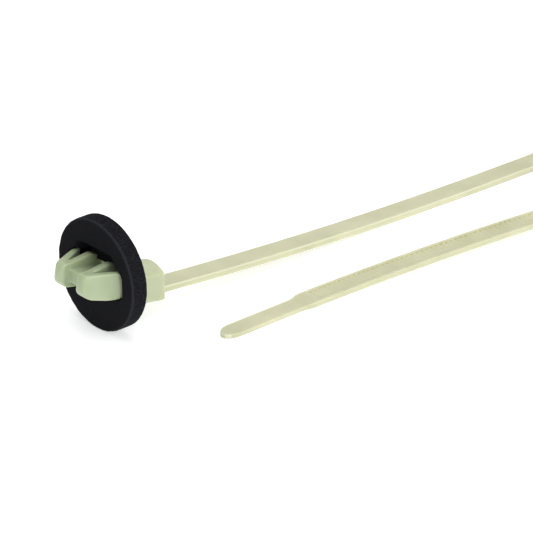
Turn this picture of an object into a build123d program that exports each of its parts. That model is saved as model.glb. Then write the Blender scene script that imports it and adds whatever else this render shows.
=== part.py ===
"""Cable tie with an oval fir tree, lying on a table with its strap folded back.

The frame has +X along the strap, away from the foam disc, and +Z up. Its origin is at
the middle of the disc's sealing face.
"""
import math
import os

from build123d import *

os.makedirs("parts", exist_ok=True)

# Foam disc, which stands upright on its rim
foam_diameter = 20.5
foam_thickness = 3.3
foam_hole_clearance = 0.4
foam_hole_rounding = 0.3
foam_pocket_clearance = 0.3
foam_edge_break = 0.2

# Lie of the stiff front of the tie, nose up in the foam's hole
tie_pitch = 10.0
tie_ahead = 0.5
tie_lift = 0.2

# Fir tree: two side blades with one flared barb each, joined by a web
nose_reach = 6.4
nose_top = 1.6
nose_sole = 2.65
nose_outer = 3.9
nose_top_round = 1.2
nose_sole_round = 2.2
nose_plan_round = 0.75
rim_inset = 0.6
rim_width = 14.0
rim_corner = 1.7
barb_height = 5.5
barb_thickness = 0.85
barb_root_setback = 4.2
blade_gap = 3.7
blade_thickness = 1.45
blade_back = 1.3
blade_back_height = 6.7
blade_back_round = 1.3
stem_height = 3.4
web_thickness = 2.3
web_drop = 0.35
web_recess = 1.8
trim_allowance = 0.1
nose_trim = 0.02
cut_overshoot = 1.0

# Plate that the foam leans on
plate_width = 12.6
plate_height = 9.6
plate_thickness = 1.0
plate_clearance = 0.1

# Head with its strap slot
head_width = 6.9
head_wall_height = 5.2
head_crown_rise = 1.3
head_length = 8.8
head_end_lean = 10.5
head_bottom = 5.8
head_edge_radius = 0.45
head_end_radius = 0.4
slot_width = 5.1
slot_gap = 1.5
slot_setback = 1.9
pawl_width = 3.4
pawl_pocket = 0.85
pawl_thickness = 0.55
pawl_reach = 3.0
pawl_lean = 0.55
pawl_tooth_depth = 0.22
pawl_tooth_length = 0.9
pawl_slack = 0.1
pawl_embed = 0.2

# Strap
strap_width = 4.6
strap_thickness = 1.1
rail_width = 0.6
edge_break = 0.2
tooth_pitch = 1.1
tooth_depth = 0.42
tooth_crest_drop = 0.06
tooth_rise_length = 0.16
first_tooth = 13.0
groove_fade = 0.02
tip_width = 3.7
tip_thickness = 0.85
tip_length = 17.0
shoulder_length = 2.4
tip_rounding = 2.8
shoulder_steps = (0.0, 0.3, 0.5, 0.7, 1.0)
tip_steps = (1.0, 0.6, 0.35, 0.17, 0.06, 0.01)

# Lie of the strap: down from the head to the table, over in a loop, and back
root_above_sole = 1.0
root_in_head = 1.4
settle_length = 80.0
run_yaw = 1.5
loop_start = 104.0
loop_reach = 26.0
loop_height = 22.5
# Places on the loop, as shares of its reach, of the way to the tail and of its height
loop_belly = (1.0, 0.40, 0.50)
loop_crown = (0.50, 0.78, 1.0)
loop_back = (-0.15, 1.04, 0.55)
tail_tip_x = 14.0
tail_offset = 17.0
tail_bend_x = 26.7
tail_end_x = 87.0
tail_end_swing = 5.8
tail_end_rise = 1.5

table = -foam_diameter / 2

pitch_cos = math.cos(math.radians(tie_pitch))
pitch_sin = math.sin(math.radians(tie_pitch))
tie_origin = Vector(tie_ahead, 0, tie_lift)
tie_frame = Plane(origin=tie_origin, x_dir=(pitch_cos, 0, -pitch_sin), z_dir=(pitch_sin, 0, pitch_cos))
side_frame = Plane(origin=tie_origin, x_dir=tie_frame.x_dir, z_dir=(0, -1, 0))


def cross_frame(along):
    """Plane square to the tree's axis, a distance along it."""
    return Plane(origin=tie_origin + tie_frame.x_dir * along, x_dir=(0, 1, 0), z_dir=tie_frame.x_dir)


# Where the foam's back face meets the lower edge of the plate
plate_front = (foam_thickness - tie_ahead + plate_height / 2 * pitch_sin) / pitch_cos + plate_clearance
head_front = plate_front + plate_thickness
head_end = head_front + head_length
blade_outer = blade_gap / 2 + blade_thickness
rim_half = rim_width / 2
slant = math.atan2(rim_half - nose_outer, rim_inset + nose_reach)
barb_back = rim_inset + barb_thickness * math.sin(slant)
barb_inner = rim_half - barb_thickness / math.cos(slant)

# Strap centreline
run_along = Vector(math.cos(math.radians(run_yaw)), -math.sin(math.radians(run_yaw)), 0)
sole_end_x = tie_ahead + head_end * pitch_cos - head_bottom * pitch_sin
sole_end_z = tie_lift - head_end * pitch_sin - head_bottom * pitch_cos
root_rise = sole_end_z + root_above_sole - table
strap_lie = table + strap_thickness / 2


def run_point(distance):
    """Centre of the strap's first run, a distance from the end of the head."""
    rise = root_rise * max(0.0, 1 - distance / settle_length) ** 2
    return Vector(sole_end_x, 0, strap_lie + rise) + run_along * distance


def tail_point(x):
    """Centre of the strap's last run, which bends towards the table and straightens there."""
    bend = max(0.0, (x - tail_bend_x) / (tail_end_x - tail_bend_x)) ** 2
    return Vector(x, -tail_offset - tail_end_swing * bend, strap_lie + tail_end_rise * bend)


def loop_point(reach, sideways, height):
    """Point of the loop, by its shares of the loop's reach, sideways travel and height."""
    travel = tail_point(tail_end_x).Y - loop_foot.Y
    return loop_foot + Vector(reach * loop_reach, sideways * travel, height * loop_height)


loop_foot = run_point(loop_start - sole_end_x)

with BuildLine() as centreline:
    ThreePointArc(run_point(-root_in_head), run_point(settle_length / 2), run_point(settle_length))
    Line(run_point(settle_length), loop_foot)
    tail_arc = ThreePointArc(
        tail_point(tail_end_x),
        tail_point((tail_bend_x + tail_end_x) / 2),
        tail_point(tail_bend_x),
    )
    Spline(
        loop_foot,
        loop_point(*loop_belly),
        loop_point(*loop_crown),
        loop_point(*loop_back),
        tail_arc @ 0,
        tangents=[run_along, tail_arc % 0],
        tangent_scalars=[1.0, 1.0],
    )
    Line(tail_point(tail_bend_x), tail_point(tail_tip_x))

route = centreline.wires()[0]
route_length = route.length
tip_start = route_length - tip_length
shoulder_start = tip_start - shoulder_length


def strap_frame(distance):
    """Section plane of the strap: X across it, Y towards its smooth side."""
    along = route.tangent_at(distance, position_mode=PositionMode.LENGTH)
    across = (Vector(0, 1, 0) - along * along.Y).normalized()
    return Plane(
        origin=route.position_at(distance, position_mode=PositionMode.LENGTH),
        x_dir=across,
        z_dir=along,
    )


def strap_size(distance):
    """Width and thickness of the strap at a distance from its root."""
    step = min(1.0, max(0.0, (distance - shoulder_start) / shoulder_length))
    blend = step * step * (3 - 2 * step)
    width = strap_width + (tip_width - strap_width) * blend
    thickness = strap_thickness + (tip_thickness - strap_thickness) * blend
    left = max(0.0, route_length - distance)
    if left < tip_rounding:
        width *= math.sqrt(1 - (1 - left / tip_rounding) ** 2)
    return width, thickness


def strap_section(distance, groove):
    """One section, with its toothed side cut down by the groove between two rails."""
    width, thickness = strap_size(distance)
    half = width / 2
    rail = half * (1 - 2 * rail_width / strap_width)
    smooth_side = strap_thickness / 2
    toothed_side = smooth_side - thickness
    bevel = edge_break * width / strap_width
    with BuildSketch(strap_frame(distance)) as section:
        Polygon(
            (-half + bevel, smooth_side),
            (-half, smooth_side - bevel),
            (-half, toothed_side),
            (-rail, toothed_side),
            (-rail, toothed_side + groove),
            (rail, toothed_side + groove),
            (rail, toothed_side),
            (half, toothed_side),
            (half, smooth_side - bevel),
            (half - bevel, smooth_side),
            align=None,
        )
    return section.sketch.face()


tooth_count = int((shoulder_start - first_tooth) / tooth_pitch)
teeth_end = first_tooth + tooth_count * tooth_pitch
plain_step = (first_tooth - tooth_pitch) / 3

sections = [strap_section(plain * plain_step, groove_fade) for plain in range(4)]
for tooth in range(tooth_count):
    tooth_start = first_tooth + tooth * tooth_pitch
    sections.append(strap_section(tooth_start, tooth_depth))
    sections.append(strap_section(tooth_start + tooth_rise_length, tooth_crest_drop))
sections.append(strap_section(teeth_end, groove_fade))
for part_way in shoulder_steps:
    shoulder = shoulder_start + part_way * shoulder_length
    sections.append(strap_section(max(teeth_end + tooth_rise_length, shoulder), groove_fade))
for left in tip_steps:
    sections.append(strap_section(route_length - left * tip_rounding, groove_fade))

with BuildPart() as strap:
    loft(sections=sections, ruled=True)

with BuildPart() as blades:
    # Upright blades, which rise out of the noses and drop behind the barbs
    blade_start = nose_top_round - nose_reach
    with BuildSketch(side_frame.offset(blade_gap / 2)):
        with BuildLine():
            Polyline(
                (blade_back, blade_back_height / 2),
                (blade_start, nose_top),
                (blade_start, -nose_top),
                (blade_back, -blade_back_height / 2),
                close=True,
            )
        make_face()
        fillet(vertices().group_by(Axis.X)[-1], blade_back_round)
    extrude(amount=blade_thickness)
    mirror(about=Plane.XZ)

with BuildPart() as tie_body:
    # Noses with their barbs, as one plan profile mirrored about the web
    with BuildSketch(tie_frame):
        with BuildLine():
            Polyline(
                (head_front, blade_gap / 2),
                (-nose_reach, blade_gap / 2),
                (-nose_reach, nose_outer),
                (rim_inset, rim_half),
                (barb_back, barb_inner),
                (-barb_root_setback, blade_outer),
                (head_front, blade_outer),
                close=True,
            )
        make_face()
        nose_corners = vertices().sort_by(Axis.X)[0:2]
        fillet(nose_corners, nose_plan_round)
        mirror(about=Plane.XZ)
    extrude(amount=barb_height / 2 + trim_allowance, both=True)

    # Web between the two blades, set back from the noses
    with BuildSketch(cross_frame(web_recess - nose_reach)):
        with Locations((0, -web_drop)):
            Rectangle(blade_gap + blade_thickness, web_thickness)
    extrude(amount=head_front + nose_reach - web_recess)

    # Seen along the tree, the barbs have round corners
    with BuildSketch(cross_frame(-nose_reach - trim_allowance)):
        RectangleRounded(rim_width, barb_height, rim_corner)
    extrude(amount=nose_reach + head_front + 2 * trim_allowance, mode=Mode.INTERSECT)

    # Seen from the side, the barbs rise a little from round noses and drop to the stem
    nose_front = -nose_reach - nose_trim
    stem_back = head_front + 2 * trim_allowance
    with BuildSketch(side_frame.offset(-rim_width)):
        with BuildLine():
            Polyline(
                (stem_back, stem_height / 2),
                (blade_back, stem_height / 2),
                (blade_back, barb_height / 2),
                (nose_front, nose_top),
                (nose_front, -nose_sole),
                (blade_back, -barb_height / 2),
                (blade_back, -stem_height / 2),
                (stem_back, -stem_height / 2),
                close=True,
            )
        make_face()
        fillet(vertices().group_by(Axis.X)[0].sort_by(Axis.Y)[0], nose_sole_round)
        fillet(vertices().group_by(Axis.X)[0].sort_by(Axis.Y)[-1], nose_top_round)
    extrude(amount=2 * rim_width, mode=Mode.INTERSECT)
    add(blades.part)

    # Plate behind the foam
    with BuildSketch(cross_frame(plate_front)):
        Ellipse(plate_width / 2, plate_height / 2)
    extrude(amount=plate_thickness)

    # Head: upright walls under an arched roof
    wall_top = head_wall_height - head_bottom
    with BuildSketch(cross_frame(head_front)):
        with BuildLine():
            Polyline(
                (-head_width / 2, wall_top),
                (-head_width / 2, -head_bottom),
                (head_width / 2, -head_bottom),
                (head_width / 2, wall_top),
            )
            ThreePointArc(
                (head_width / 2, wall_top),
                (0, wall_top + head_crown_rise),
                (-head_width / 2, wall_top),
            )
        make_face()
        fillet(vertices().sort_by(Axis.Y)[0:2], head_edge_radius)
    extrude(amount=head_length)

    # The end of the head leans over the strap's root
    head_top = wall_top + head_crown_rise
    lean = (head_wall_height + head_crown_rise) * math.tan(math.radians(head_end_lean))
    with BuildSketch(side_frame):
        Polygon(
            (head_end, -head_bottom),
            (head_end + lean, -head_bottom),
            (head_end + lean, head_top + lean),
            (head_end - lean, head_top + lean),
            (head_end - lean, head_top),
            align=None,
        )
    extrude(amount=head_width, both=True, mode=Mode.SUBTRACT)
    tree_axis = Axis(origin=tie_origin, direction=tie_frame.x_dir)
    end_face = faces().sort_by(tree_axis)[-1]
    fillet(end_face.edges(), head_end_radius)

    # Slot through the head, with a pocket behind the pawl
    slot_front = head_front + slot_setback
    with BuildSketch(tie_frame.offset(head_top + cut_overshoot)):
        with Locations((slot_front + slot_gap / 2, 0)):
            Rectangle(slot_gap, slot_width)
    extrude(amount=-(head_wall_height + head_crown_rise + 2 * cut_overshoot), mode=Mode.SUBTRACT)
    with BuildSketch(tie_frame.offset(head_top - 2 * pawl_thickness)):
        with Locations((slot_front - pawl_pocket / 2, 0)):
            Rectangle(pawl_pocket, pawl_width + 2 * pawl_tooth_depth)
    extrude(amount=-(head_wall_height + head_crown_rise), mode=Mode.SUBTRACT)

    # Pawl, hanging from the roof into the slot, with two teeth towards the strap
    pawl_top = head_top - pawl_thickness
    pawl_root = slot_front - pawl_pocket - pawl_embed
    pawl_hinge = slot_front - pawl_slack
    pawl_end = pawl_top - pawl_reach
    tooth_tip = slot_front + pawl_lean
    with BuildSketch(side_frame):
        with BuildLine():
            Polyline(
                (pawl_root, pawl_top),
                (pawl_hinge, pawl_top),
                (pawl_hinge, pawl_top - 2 * pawl_thickness),
                (tooth_tip - pawl_tooth_depth, pawl_end + pawl_tooth_length),
                (tooth_tip - 2 * pawl_tooth_depth, pawl_end + pawl_tooth_length),
                (tooth_tip, pawl_end),
                (tooth_tip - pawl_tooth_depth, pawl_end),
                (pawl_hinge - pawl_thickness, pawl_end),
                (pawl_hinge - pawl_thickness, pawl_top - 2 * pawl_thickness),
                (pawl_root, pawl_top - 2 * pawl_thickness),
                close=True,
            )
        make_face()
    extrude(amount=pawl_width / 2, both=True)

    add(strap.part)

tie_body.part.label = "tie_body"
export_step(tie_body.part, "parts/tie_body.step")

with BuildPart() as foam_disc:
    with BuildSketch(Plane.YZ):
        Circle(foam_diameter / 2)
    extrude(amount=foam_thickness)
    chamfer(edges().filter_by(GeomType.CIRCLE), foam_edge_break)
    # Hole for the stem, and the dent that the barbs press into the face
    hole_width = 2 * (blade_outer + foam_hole_clearance)
    hole_height = stem_height + 2 * foam_hole_clearance
    with BuildSketch(cross_frame(-foam_thickness)):
        RectangleRounded(hole_width, hole_height, foam_hole_rounding)
    extrude(amount=3 * foam_thickness, mode=Mode.SUBTRACT)
    with BuildSketch(cross_frame(blade_back + foam_pocket_clearance)):
        RectangleRounded(
            rim_width + 2 * foam_pocket_clearance,
            blade_back_height + 2 * foam_pocket_clearance,
            rim_corner + foam_pocket_clearance,
        )
    extrude(amount=-2 * foam_thickness, mode=Mode.SUBTRACT)

foam_disc.part.label = "foam_disc"
export_step(foam_disc.part, "parts/foam_disc.step")
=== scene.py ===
"""Looks of a cable tie with an oval fir tree and a foam seal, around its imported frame.

All lengths are in metres, in the frame's own axes: +X along the strap away from the seal,
+Z up, and the origin in the middle of the seal's front face.
"""

import logging
import math
from dataclasses import dataclass
from enum import Enum

import bpy
from mathutils import Matrix, Vector


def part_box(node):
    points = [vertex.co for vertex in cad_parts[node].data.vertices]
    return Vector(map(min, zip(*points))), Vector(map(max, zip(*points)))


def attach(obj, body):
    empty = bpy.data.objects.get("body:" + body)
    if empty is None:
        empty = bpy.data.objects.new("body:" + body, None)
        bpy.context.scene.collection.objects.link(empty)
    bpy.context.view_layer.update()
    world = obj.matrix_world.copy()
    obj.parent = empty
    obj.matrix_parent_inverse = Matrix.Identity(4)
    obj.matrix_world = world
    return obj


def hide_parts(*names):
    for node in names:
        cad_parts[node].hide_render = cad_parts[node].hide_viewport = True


logging.basicConfig(level=logging.INFO, format="%(name)s: %(message)s")
LOG = logging.getLogger("cable_tie")

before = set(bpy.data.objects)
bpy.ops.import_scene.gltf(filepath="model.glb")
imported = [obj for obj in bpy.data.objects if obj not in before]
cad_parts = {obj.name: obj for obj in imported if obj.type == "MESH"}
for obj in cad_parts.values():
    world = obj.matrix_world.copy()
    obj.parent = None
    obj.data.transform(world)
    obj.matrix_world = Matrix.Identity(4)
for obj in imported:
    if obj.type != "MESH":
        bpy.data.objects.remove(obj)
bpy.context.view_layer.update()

Colour = tuple[float, float, float, float]
Place = tuple[float, float, float]
Socket = bpy.types.NodeSocket

WHITE: Colour = (1.0, 1.0, 1.0, 1.0)
MERGE_DISTANCE = 1e-7
MILLIMETRES = 1000.0


class Slot(Enum):
    """Names of the record's material slots."""

    NYLON = "nylon"
    FOAM = "foam"


class Side(Enum):
    """Which half of a cut mesh is kept, along +X."""

    NEAR_ORIGIN = "near origin"
    BEYOND = "beyond"


def select_only(obj: bpy.types.Object) -> None:
    """Makes one object the only selected and the active one.

    Args:
        obj: The object to select.
    """
    bpy.ops.object.select_all(action="DESELECT")
    obj.select_set(True)
    bpy.context.view_layer.objects.active = obj


def merged_copy(node: str, name: str) -> bpy.types.Object:
    """Copies a CAD node's mesh and joins its doubled corners.

    Args:
        node: Name of the CAD node, which is left as it is.
        name: Name of the new object.

    Returns:
        The new object, with a closed mesh and no materials.
    """
    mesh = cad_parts[node].data.copy()
    mesh.materials.clear()
    obj = bpy.data.objects.new(name, mesh)
    bpy.context.scene.collection.objects.link(obj)
    select_only(obj)
    bpy.ops.object.mode_set(mode="EDIT")
    bpy.ops.mesh.customdata_custom_splitnormals_clear()
    bpy.ops.mesh.select_all(action="SELECT")
    bpy.ops.mesh.remove_doubles(threshold=MERGE_DISTANCE)
    bpy.ops.mesh.normals_make_consistent(inside=False)
    bpy.ops.object.mode_set(mode="OBJECT")
    return obj


def cut_across(obj: bpy.types.Object, x: float, keep: Side) -> None:
    """Cuts a closed mesh square to X and caps the cut.

    Args:
        obj: The object to cut.
        x: Place of the cut.
        keep: The half that stays.
    """
    select_only(obj)
    bpy.ops.object.mode_set(mode="EDIT")
    bpy.ops.mesh.select_all(action="SELECT")
    bpy.ops.mesh.bisect(
        plane_co=(x, 0.0, 0.0),
        plane_no=(1.0, 0.0, 0.0),
        use_fill=True,
        clear_outer=keep is Side.NEAR_ORIGIN,
        clear_inner=keep is Side.BEYOND,
    )
    bpy.ops.object.mode_set(mode="OBJECT")


def apply_modifier(obj: bpy.types.Object, kind: str, **settings: object) -> None:
    """Adds a modifier to an object and applies it.

    Args:
        obj: The object to change.
        kind: Blender's type of the modifier.
        settings: Values of the modifier's own properties.
    """
    modifier = obj.modifiers.new(kind.lower(), kind)
    for key, value in settings.items():
        setattr(modifier, key, value)
    select_only(obj)
    bpy.ops.object.modifier_apply(modifier=modifier.name)


def eased(share: float) -> float:
    """Eases a share in and out.

    Args:
        share: The share; values outside 0 to 1 are held at the ends.

    Returns:
        The eased share, from 0 to 1.
    """
    held = min(1.0, max(0.0, share))
    return held * held * (3.0 - 2.0 * held)


def report_piece(obj: bpy.types.Object) -> None:
    """Logs the size of a finished piece.

    Args:
        obj: The piece.
    """
    obj.data.calc_loop_triangles()
    size = ", ".join(f"{side * MILLIMETRES:.1f}" for side in obj.dimensions)
    LOG.info("%s: %d triangles, %s mm", obj.name, len(obj.data.loop_triangles), size)


class NodeMaterial:
    """A material under construction: its node tree and its surface shader."""

    def __init__(self, name: str) -> None:
        """Starts a material with one surface shader.

        Args:
            name: Name of the material.
        """
        self.material = bpy.data.materials.new(name)
        self.material.use_nodes = True
        self.nodes = self.material.node_tree.nodes
        self.links = self.material.node_tree.links
        self.shader = self.nodes["Principled BSDF"]
        self.coordinates = self.nodes.new("ShaderNodeTexCoord")

    def set(self, **sockets: object) -> None:
        """Sets constants on the shader, by socket name with underscores for spaces.

        Args:
            sockets: Values by socket.
        """
        for key, value in sockets.items():
            self.shader.inputs[key.replace("_", " ")].default_value = value

    def noise(self, scale: float, detail: float, roughness: float = 0.5) -> Socket:
        """Adds a noise texture in object coordinates.

        Args:
            scale: Cells per metre.
            detail: Octaves.
            roughness: Weight of the finer octaves.

        Returns:
            The noise's socket.
        """
        node = self.nodes.new("ShaderNodeTexNoise")
        node.inputs["Scale"].default_value = scale
        node.inputs["Detail"].default_value = detail
        node.inputs["Roughness"].default_value = roughness
        self.links.new(self.coordinates.outputs["Object"], node.inputs["Vector"])
        return node.outputs["Fac"]

    def cells(self, scale: float) -> Socket:
        """Adds a cell texture in object coordinates.

        Args:
            scale: Cells per metre.

        Returns:
            The socket of the distance from each cell's middle.
        """
        node = self.nodes.new("ShaderNodeTexVoronoi")
        node.inputs["Scale"].default_value = scale
        self.links.new(self.coordinates.outputs["Object"], node.inputs["Vector"])
        return node.outputs["Distance"]

    def ramp(self, source: Socket, span: tuple[float, float], low: Colour, high: Colour) -> Socket:
        """Adds a ramp between two colours over a value.

        Args:
            source: The value's socket.
            span: Values up to which the colour is low and from which it is high.
            low: Colour of the low values.
            high: Colour of the high values.

        Returns:
            The colour's socket.
        """
        node = self.nodes.new("ShaderNodeValToRGB")
        for element, position, colour in zip(node.color_ramp.elements, span, (low, high)):
            element.position = position
            element.color = colour
        self.links.new(source, node.inputs["Fac"])
        return node.outputs["Color"]

    def attribute(self, name: str) -> Socket:
        """Reads a number stored in the mesh.

        Args:
            name: Name of the mesh attribute.

        Returns:
            The number's socket, which is 0 on a mesh without it.
        """
        node = self.nodes.new("ShaderNodeAttribute")
        node.attribute_name = name
        return node.outputs["Fac"]

    def plain_colour(self, colour: Colour) -> Socket:
        """Adds one colour.

        Args:
            colour: The colour.

        Returns:
            The colour's socket.
        """
        node = self.nodes.new("ShaderNodeRGB")
        node.outputs["Color"].default_value = colour
        return node.outputs["Color"]

    def mix(self, share: Socket, first: Socket, second: Socket) -> Socket:
        """Mixes two colours.

        Args:
            share: Share of the second colour.
            first: The first colour's socket.
            second: The second colour's socket.

        Returns:
            The mixed colour's socket.
        """
        node = self.nodes.new("ShaderNodeMixRGB")
        self.links.new(share, node.inputs["Fac"])
        self.links.new(first, node.inputs["Color1"])
        self.links.new(second, node.inputs["Color2"])
        return node.outputs["Color"]

    def product(self, first: Socket, second: Socket) -> Socket:
        """Multiplies two values.

        Args:
            first: The first value's socket.
            second: The second value's socket.

        Returns:
            The product's socket.
        """
        node = self.nodes.new("ShaderNodeMath")
        node.operation = "MULTIPLY"
        self.links.new(first, node.inputs[0])
        self.links.new(second, node.inputs[1])
        return node.outputs["Value"]

    def along_x(self, start: float, end: float) -> Socket:
        """Adds a value that rises from 0 to 1 between two places along X.

        Args:
            start: Place of 0, in metres.
            end: Place of 1, in metres.

        Returns:
            The value's socket.
        """
        split = self.nodes.new("ShaderNodeSeparateXYZ")
        self.links.new(self.coordinates.outputs["Object"], split.inputs["Vector"])
        node = self.nodes.new("ShaderNodeMapRange")
        node.inputs["From Min"].default_value = start
        node.inputs["From Max"].default_value = end
        self.links.new(split.outputs["X"], node.inputs["Value"])
        return node.outputs["Result"]

    def spread(self, source: Socket, low: float, high: float) -> Socket:
        """Maps a value from 0..1 to a range.

        Args:
            source: The value's socket.
            low: Result at 0.
            high: Result at 1.

        Returns:
            The result's socket.
        """
        node = self.nodes.new("ShaderNodeMapRange")
        node.inputs["To Min"].default_value = low
        node.inputs["To Max"].default_value = high
        self.links.new(source, node.inputs["Value"])
        return node.outputs["Result"]

    def bump(self, height: Socket, distance: float, under: Socket | None = None) -> Socket:
        """Adds a bump from a height value.

        Args:
            height: The height's socket.
            distance: Height of 1, in metres.
            under: Normal of another bump that this one lies on.

        Returns:
            The normal's socket.
        """
        node = self.nodes.new("ShaderNodeBump")
        node.inputs["Distance"].default_value = distance
        self.links.new(height, node.inputs["Height"])
        if under is not None:
            self.links.new(under, node.inputs["Normal"])
        return node.outputs["Normal"]

    def connect(self, socket: Socket, to: str) -> None:
        """Links a socket to one of the shader's inputs.

        Args:
            socket: The source.
            to: Name of the shader's input.
        """
        self.links.new(socket, self.shader.inputs[to])


@dataclass(frozen=True)
class NylonFinish:
    """Natural nylon: pale and satin where it is thin, deeper and greener near the tree and over
    the head.

    The deeper, greener colour is partly the heavier sections' own tone and partly painted shade
    from the black foam and from the side turned away from the light; along X it fades out between
    the two fade places given below. A mesh attribute on the strap's bevelled faces marks where a
    highlight is painted.
    """

    name: str = "natural_nylon"
    pale: Colour = (0.585, 0.575, 0.40, 1.0)
    deep: Colour = (0.505, 0.505, 0.335, 1.0)
    # The two colours below are the heavier nylon near the tree, darkened and greened partly by its
    # own tone and partly as painted shade from the foam and the side away from the light.
    thick_shaded_pale: Colour = (0.415, 0.485, 0.325, 1.0)
    thick_shaded_deep: Colour = (0.355, 0.42, 0.25, 1.0)
    # Painted highlight: a lighter colour on the strap's bevelled faces, where light catches the
    # edges.
    edge_highlight: Colour = (0.61, 0.615, 0.455, 1.0)
    # The painted shade is full up to the first place and fades out along X by the second.
    shade_fade_start: float = 0.0025
    shade_fade_end: float = 0.018
    cloud_scale: float = 160.0
    cloud_detail: float = 3.0
    cloud_span: tuple[float, float] = (0.3, 0.7)
    grain_scale: float = 5200.0
    grain_detail: float = 4.0
    grain_roughness: float = 0.6
    grain_height: float = 0.000006
    smooth_roughness: float = 0.27
    rough_roughness: float = 0.42
    scatter: tuple[float, float, float] = (1.0, 1.0, 0.55)
    depth: float = 0.0013
    glow: float = 0.55
    refraction: float = 1.53
    gloss: float = 0.45

    def build(self) -> bpy.types.Material:
        """Builds the material.

        Returns:
            The nylon material.
        """
        made = NodeMaterial(self.name)
        clouds = made.noise(self.cloud_scale, self.cloud_detail)
        thin = made.ramp(clouds, self.cloud_span, self.deep, self.pale)
        # Colour of the heavier nylon near the tree, darkened partly as painted shade.
        thick_and_shaded = made.ramp(clouds, self.cloud_span, self.thick_shaded_deep, self.thick_shaded_pale)
        # Blends the painted shade out along X towards the strap.
        stock_and_shade = made.mix(made.along_x(self.shade_fade_start, self.shade_fade_end), thick_and_shaded, thin)
        # Painted highlight on the strap's bevelled faces, from the mesh attribute.
        painted_highlight = made.plain_colour(self.edge_highlight)
        made.connect(made.mix(made.attribute("edge_highlight"), stock_and_shade, painted_highlight), "Base Color")
        roughness = made.spread(clouds, self.smooth_roughness, self.rough_roughness)
        made.connect(roughness, "Roughness")
        grain = made.noise(self.grain_scale, self.grain_detail, self.grain_roughness)
        made.connect(made.bump(grain, self.grain_height), "Normal")
        made.set(
            Subsurface_Weight=self.glow,
            Subsurface_Radius=self.scatter,
            Subsurface_Scale=self.depth,
            IOR=self.refraction,
            Specular_IOR_Level=self.gloss,
        )
        return made.material


@dataclass(frozen=True)
class FoamFinish:
    """Black closed-cell foam: a fine skin on the faces, open cells on the cut rim.

    The mesh attribute "rim" says where the cut rim is, and a second one marks its front corner,
    where a lighter colour is a painted highlight.
    """

    name: str = "cellular_foam"
    wall: Colour = (0.0068, 0.0068, 0.0085, 1.0)
    cell: Colour = (0.012, 0.0125, 0.015, 1.0)
    fleck: Colour = (0.027, 0.028, 0.032, 1.0)
    # Painted highlight: a lighter colour along the rim's front corner, where light catches the
    # edge.
    crease_highlight: Colour = (0.026, 0.027, 0.031, 1.0)
    cell_scale: float = 2300.0
    cell_depth: float = 0.00007
    fleck_scale: float = 3600.0
    fleck_detail: float = 4.0
    fleck_roughness: float = 0.7
    skin_span: tuple[float, float] = (0.35, 0.7)
    cut_span: tuple[float, float] = (0.5, 0.7)
    skin_depth: float = 0.00002
    roughness: float = 0.9
    refraction: float = 1.45
    gloss: float = 0.06

    def build(self) -> bpy.types.Material:
        """Builds the material, coarser where the mesh's "rim" attribute is high.

        Returns:
            The foam material.
        """
        made = NodeMaterial(self.name)
        cells = made.cells(self.cell_scale)
        flecks = made.noise(self.fleck_scale, self.fleck_detail, self.fleck_roughness)
        rim = made.attribute("rim")
        skin = made.ramp(flecks, self.skin_span, self.wall, self.cell)
        cut = made.ramp(flecks, self.cut_span, self.wall, self.fleck)
        # Painted highlight along the rim's front corner.
        crease_highlight = made.plain_colour(self.crease_highlight)
        made.connect(
            made.mix(made.attribute("crease_highlight"), made.mix(rim, skin, cut), crease_highlight), "Base Color"
        )
        grain = made.bump(flecks, self.skin_depth)
        made.connect(made.bump(made.product(cells, rim), self.cell_depth, under=grain), "Normal")
        made.set(
            Roughness=self.roughness,
            IOR=self.refraction,
            Specular_IOR_Level=self.gloss,
        )
        return made.material


@dataclass(frozen=True)
class TieMoulding:
    """The one-piece moulding: fir tree, plate and head in one piece, strap in the other.

    The front ends just behind the head, at head_end plus a small overlap with the strap. It
    is melted soft by grain, the size of the mesh, and melt_steps of smoothing.
    """

    finish: bpy.types.Material
    node: str = "tie_body"
    head_end: float = 0.01295
    overlap: float = 0.0006
    grain: float = 0.00011
    melt_share: float = 0.6
    melt_steps: int = 28
    bevel: tuple[float, float] = (0.45, 0.9)
    sharp_from: float = 22.0

    def mark_edge_highlight(self, obj: bpy.types.Object) -> None:
        """Stores which faces are the narrow bevels along the strap, where a highlight is painted.

        Args:
            obj: The strap.
        """
        attribute = obj.data.attributes.new("edge_highlight", "FLOAT", "FACE")
        low, high = self.bevel
        for face, value in zip(obj.data.polygons, attribute.data):
            value.value = 1.0 if low < abs(face.normal.y) < high else 0.0

    def front(self) -> bpy.types.Object:
        """Builds the tree, plate and head with the soft edges of a moulding.

        Returns:
            The piece.
        """
        obj = merged_copy(self.node, "moulded_front")
        cut_across(obj, self.head_end + self.overlap, Side.NEAR_ORIGIN)
        apply_modifier(obj, "REMESH", mode="VOXEL", voxel_size=self.grain, adaptivity=0.0)
        apply_modifier(obj, "SMOOTH", factor=self.melt_share, iterations=self.melt_steps)
        select_only(obj)
        bpy.ops.object.shade_smooth()
        return obj

    def strap(self) -> bpy.types.Object:
        """Builds the toothed strap from the head to its tip.

        Returns:
            The piece.
        """
        obj = merged_copy(self.node, "toothed_strap")
        cut_across(obj, self.head_end, Side.BEYOND)
        self.mark_edge_highlight(obj)
        select_only(obj)
        bpy.ops.object.shade_smooth_by_angle(angle=math.radians(self.sharp_from))
        return obj

    def build(self) -> None:
        """Builds both pieces and lets them stand for the CAD node."""
        for obj in (self.front(), self.strap()):
            obj.data.materials.append(self.finish)
            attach(obj, "root")
            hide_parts(self.node)
            report_piece(obj)


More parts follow.
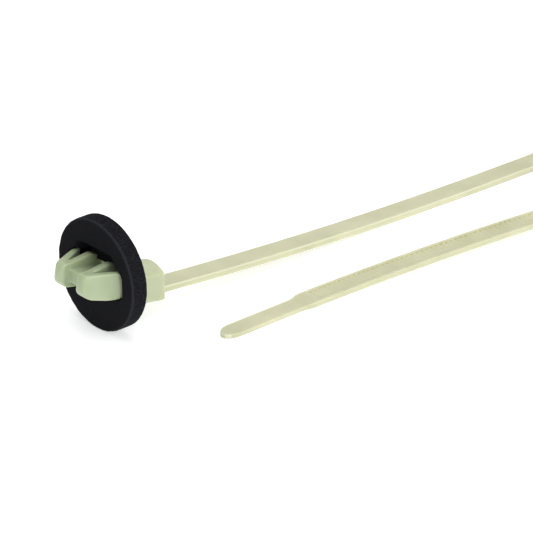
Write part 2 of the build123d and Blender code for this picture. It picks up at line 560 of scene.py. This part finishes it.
@dataclass(frozen=True)
class FoamGrip:
    """How the foam is drawn in on the tree, across the tree's own tilted axis.

    The hole closes on the stem by stem_draw, the pocket on the barbs by barb_draw, and the
    pocket's floor rises by floor_rise. All of it fades out before the rim of the disc.
    """

    axis_start: Place = (0.0005, 0.0, 0.0002)
    pitch: float = 10.0
    blade_side: float = 0.0036
    side_fade: float = 0.0009
    stem_edge: float = 0.0021
    stem_fade: float = 0.0014
    stem_draw: float = 0.00033
    pocket_edge: float = 0.00365
    pocket_fade: float = 0.0035
    barb_draw: float = 0.0007
    draw_from: float = 0.0019
    still_from: float = 0.0076
    still_fade: float = 0.0020
    floor_depth: float = 0.0016
    floor_rise: float = 0.00024
    floor_fade: float = 0.0009
    floor_reach: float = 0.0042

    def close_up(self, obj: bpy.types.Object) -> None:
        """Draws the foam in around the stem, and over and under the barbs.

        Args:
            obj: The seal.
        """
        tilt = math.radians(self.pitch)
        above = Vector((math.sin(tilt), 0.0, math.cos(tilt)))
        ahead = Vector((math.cos(tilt), 0.0, -math.sin(tilt)))
        start = Vector(self.axis_start)
        for vertex in obj.data.vertices:
            place = vertex.co - start
            height = place.dot(above)
            away = abs(height)
            share = eased((abs(place.y) - self.blade_side) / self.side_fade)
            stem = self.stem_draw * (1.0 - eased((away - self.stem_edge) / self.stem_fade))
            barb = self.barb_draw * (1.0 - eased((away - self.pocket_edge) / self.pocket_fade))
            draw = (stem + (barb - stem) * share) * min(1.0, away / self.draw_from)
            out = math.hypot(place.y, place.z)
            draw *= 1.0 - eased((out - self.still_from) / self.still_fade)
            depth = abs(place.dot(ahead) - self.floor_depth)
            rise = self.floor_rise * (1.0 - eased(depth / self.floor_fade)) * (1.0 - share)
            rise *= 1.0 - eased((out - self.floor_reach) / self.floor_fade)
            vertex.co.z -= math.copysign(draw, height)
            vertex.co -= ahead * rise


@dataclass(frozen=True)
class FoamDish:
    """The soft dish in the front face around the tops of the blades.

    It sets in between start and full above the middle, is deepest up to top, and ends in a
    round lip outside half_width and above top.
    """

    half_width: float = 0.0036
    top: float = 0.0036
    start: float = 0.0008
    full: float = 0.0026
    depth: float = 0.0018
    slope: float = 0.17
    lip: float = 0.0019

    def press_in(self, obj: bpy.types.Object) -> None:
        """Presses the dish into the front face.

        Args:
            obj: The seal.
        """
        for vertex in obj.data.vertices:
            place = vertex.co
            aside = max(0.0, abs(place.y) - self.half_width)
            away = math.hypot(aside, max(0.0, place.z - self.top))
            if away > self.lip or place.z < self.start:
                continue
            fade = 1.0 - eased(away / self.lip)
            fade *= eased((place.z - self.start) / (self.full - self.start))
            floor = self.depth + self.slope * place.z
            place.x = max(place.x, floor * fade)


@dataclass(frozen=True)
class FoamSeal:
    """The soft disc around the tree's stem, cut from closed-cell sheet."""

    finish: bpy.types.Material
    node: str = "foam_disc"
    grip: FoamGrip = FoamGrip()
    dish: FoamDish = FoamDish()
    grain: float = 0.00016
    ripple: float = 0.00010
    ripple_size: float = 0.0011
    melt_share: float = 0.5
    melt_steps: int = 3
    rim_depth: float = 0.0007
    corner_inset: float = 0.0001
    corner_width: float = 0.00035

    def mark_rim(self, obj: bpy.types.Object, radius: float) -> None:
        """Stores where the cut rim and its front corner are, from 0 to 1; the front corner gets a
        painted highlight.

        Args:
            obj: The seal.
            radius: Radius of the disc.
        """
        rim = obj.data.attributes.new("rim", "FLOAT", "POINT")
        crease_highlight = obj.data.attributes.new("crease_highlight", "FLOAT", "POINT")
        for vertex, on_rim, on_crease_highlight in zip(obj.data.vertices, rim.data, crease_highlight.data):
            away = math.hypot(vertex.co.y, vertex.co.z)
            outward = math.hypot(vertex.normal.y, vertex.normal.z)
            on_rim.value = outward if away > radius - self.rim_depth else 0.0
            # Front corner of the rim, where the foam's highlight is painted.
            corner = math.hypot(vertex.co.x - self.corner_inset, radius - self.corner_inset - away)
            on_crease_highlight.value = max(0.0, 1.0 - corner / self.corner_width)

    def build(self) -> None:
        """Builds the seal and lets it stand for the CAD node."""
        low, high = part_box(self.node)
        obj = merged_copy(self.node, "foam_seal")
        apply_modifier(obj, "REMESH", mode="VOXEL", voxel_size=self.grain, adaptivity=0.0)
        self.grip.close_up(obj)
        self.dish.press_in(obj)
        apply_modifier(obj, "REMESH", mode="VOXEL", voxel_size=self.grain, adaptivity=0.0)
        apply_modifier(obj, "SMOOTH", factor=self.melt_share, iterations=self.melt_steps)
        ripple = bpy.data.textures.new("foam_ripple", "CLOUDS")
        ripple.noise_scale = self.ripple_size
        apply_modifier(
            obj, "DISPLACE", texture=ripple, texture_coords="LOCAL", strength=self.ripple
        )
        select_only(obj)
        bpy.ops.object.shade_smooth()
        self.mark_rim(obj, (high.y - low.y) / 2)
        obj.data.materials.append(self.finish)
        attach(obj, "root")
        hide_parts(self.node)
        report_piece(obj)


@dataclass(frozen=True)
class PhotoView:
    """The photograph's camera: where it stands and how it looks at the tie."""

    elevation: float = 26.529
    heading: float = 41.348
    distance: float = 0.5487
    focal_pixels: float = 3203.9
    anchor_column: float = 94.92
    anchor_row: float = 275.31
    image_size: float = 533.0
    sensor: float = 36.0
    sees_from: float = 0.01
    sees_to: float = 20.0

    def build(self) -> bpy.types.Object:
        """Places the camera so that the frame's origin falls on its pixel.

        Returns:
            The camera object.
        """
        lift, turn = math.radians(self.elevation), math.radians(self.heading)
        ahead = Vector((math.sin(turn), math.cos(turn), 0.0)) * math.cos(lift)
        ahead -= Vector((0.0, 0.0, math.sin(lift)))
        right = Vector((math.cos(turn), -math.sin(turn), 0.0))
        above = right.cross(ahead)
        middle = self.image_size / 2
        aside = (self.anchor_column - middle) / self.focal_pixels * self.distance
        below = (self.anchor_row - middle) / self.focal_pixels * self.distance
        data = bpy.data.cameras.new("photo_camera")
        data.sensor_width = self.sensor
        data.lens = self.sensor * self.focal_pixels / self.image_size
        data.clip_start = self.sees_from
        data.clip_end = self.sees_to
        camera = bpy.data.objects.new("photo_camera", data)
        place = -ahead * self.distance - right * aside + above * below
        camera.matrix_world = Matrix.Translation(place) @ Matrix(
            (right, above, -ahead)
        ).transposed().to_4x4()
        bpy.context.scene.collection.objects.link(camera)
        bpy.context.scene.camera = camera
        return camera


@dataclass(frozen=True)
class Lamp:
    """One soft white light: where it is, how large and how strong."""

    name: str
    place: Place
    size: float
    watts: float

    def build(self, target: Vector) -> bpy.types.Object:
        """Places the light and turns it to its target.

        Args:
            target: The point that it shines at.

        Returns:
            The light object.
        """
        data = bpy.data.lights.new(self.name, "AREA")
        data.shape = "DISK"
        data.size = self.size
        data.energy = self.watts
        lamp = bpy.data.objects.new(self.name, data)
        lamp.location = self.place
        lamp.rotation_euler = (target - Vector(self.place)).to_track_quat("-Z", "Y").to_euler()
        bpy.context.scene.collection.objects.link(lamp)
        return lamp


@dataclass(frozen=True)
class Studio:
    """A white table in soft light, with the photograph's camera."""

    table_height: float
    table_size: float = 6.0
    table_colour: Colour = (0.72, 0.725, 0.74, 1.0)
    table_glow: float = 0.5
    table_gloss: float = 0.1
    table_roughness: tuple[float, float] = (0.55, 0.65)
    grain_scale: float = 60.0
    grain_detail: float = 3.0
    sky_strength: float = 0.62
    target: Place = (0.04, -0.01, 0.0)
    lamps: tuple[Lamp, ...] = (
        Lamp("overhead", (0.05, 0.10, 0.9), 0.9, 3.8),
        Lamp("from_viewer", (0.05, -0.80, 0.40), 0.6, 3.7),
    )

    def build_table(self) -> bpy.types.Object:
        """Builds the table.

        Returns:
            The table, which is not part of the object.
        """
        bpy.ops.mesh.primitive_plane_add(size=self.table_size)
        table = bpy.context.active_object
        table.name = "table"
        bpy.ops.object.mode_set(mode="EDIT")
        bpy.ops.mesh.select_all(action="SELECT")
        bpy.ops.transform.translate(value=(0.0, 0.0, self.table_height))
        bpy.ops.object.mode_set(mode="OBJECT")
        made = NodeMaterial("white_table")
        grain = made.noise(self.grain_scale, self.grain_detail)
        made.connect(made.spread(grain, *self.table_roughness), "Roughness")
        made.set(
            Base_Color=self.table_colour,
            Specular_IOR_Level=self.table_gloss,
            Emission_Color=WHITE,
            Emission_Strength=self.table_glow,
        )
        table.data.materials.append(made.material)
        return table

    def build(self) -> None:
        """Builds the table, lights, surroundings and camera."""
        self.build_table()
        target = Vector(self.target)
        for lamp in self.lamps:
            lamp.build(target)
        world = bpy.data.worlds.new("white_room")
        world.use_nodes = True
        background = world.node_tree.nodes["Background"]
        background.inputs["Color"].default_value = WHITE
        background.inputs["Strength"].default_value = self.sky_strength
        bpy.context.scene.world = world
        bpy.context.scene.view_settings.view_transform = "Standard"
        PhotoView().build()


def main() -> None:
    """Builds the tie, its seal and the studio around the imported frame."""
    nylon = NylonFinish().build()
    foam = FoamFinish().build()
    for node, material in (("tie_body", nylon), ("foam_disc", foam)):
        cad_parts[node].data.materials.clear()
        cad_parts[node].data.materials.append(material)
    table_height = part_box("foam_disc")[0].z
    TieMoulding(nylon).build()
    FoamSeal(foam).build()
    Studio(table_height).build()


if __name__ == "__main__":
    main()
